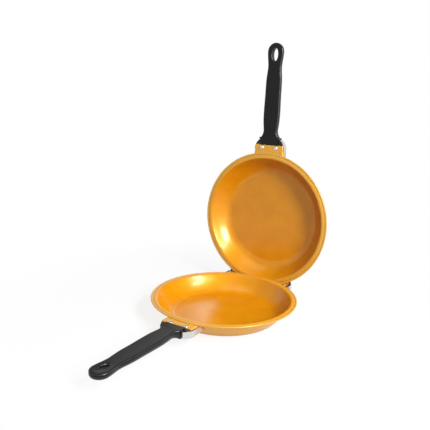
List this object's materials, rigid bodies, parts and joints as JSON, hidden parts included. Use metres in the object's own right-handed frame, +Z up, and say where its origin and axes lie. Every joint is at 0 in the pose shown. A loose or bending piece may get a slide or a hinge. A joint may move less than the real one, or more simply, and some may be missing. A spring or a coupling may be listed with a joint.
{
  "type": "double sided flip pan",
  "caption": "Double sided flip pan: two shallow frying pans joined by a side hinge, each with a black handle and a steel bracket.",
  "frame": {"origin": "centre of the lower pan's flat base, on the surface it stands on", "axes": "+Z up, -Y along the lower handle, +X along the hinge axis to the right"},
  "size_m": [0.24, 0.47, 0.4403],
  "materials": {
    "ceramic_coat": "satin",
    "polished_steel": "polished",
    "hinge_steel": "satin",
    "rivet_aluminium": "satin",
    "handle_phenolic": "satin",
    "zinc_steel": "satin"
  },
  "bodies": {
    "lower_half": {"lower_pan": "ceramic_coat", "lower_handle_bracket": "polished_steel", "lower_handle_rivets": "rivet_aluminium", "lower_handle_tang": "zinc_steel", "lower_handle": "handle_phenolic", "lower_handle_screw": "zinc_steel", "lower_handle_washer": "zinc_steel", "lower_hinge_rivets": "rivet_aluminium", "lower_left_hinge_plate": "hinge_steel", "lower_right_hinge_plate": "hinge_steel", "left_hinge_pin": "zinc_steel", "left_hinge_washer": "zinc_steel", "right_hinge_pin": "zinc_steel", "right_hinge_washer": "zinc_steel"},
    "upper_half": {"upper_pan": "ceramic_coat", "upper_handle_bracket": "polished_steel", "upper_handle_rivets": "rivet_aluminium", "upper_handle_tang": "zinc_steel", "upper_handle": "handle_phenolic", "upper_handle_screw": "zinc_steel", "upper_handle_washer": "zinc_steel", "upper_hinge_rivets": "rivet_aluminium", "upper_left_hinge_plate": "hinge_steel", "upper_right_hinge_plate": "hinge_steel"}
  },
  "joints": [
    {"name": "pan_hinge", "type": "hinge", "parent": "lower_half", "child": "upper_half", "pos_m": [0, 0.114, 0.0209], "axis": [1, 0, 0], "range_deg": [0, 92.8]}
  ]
}
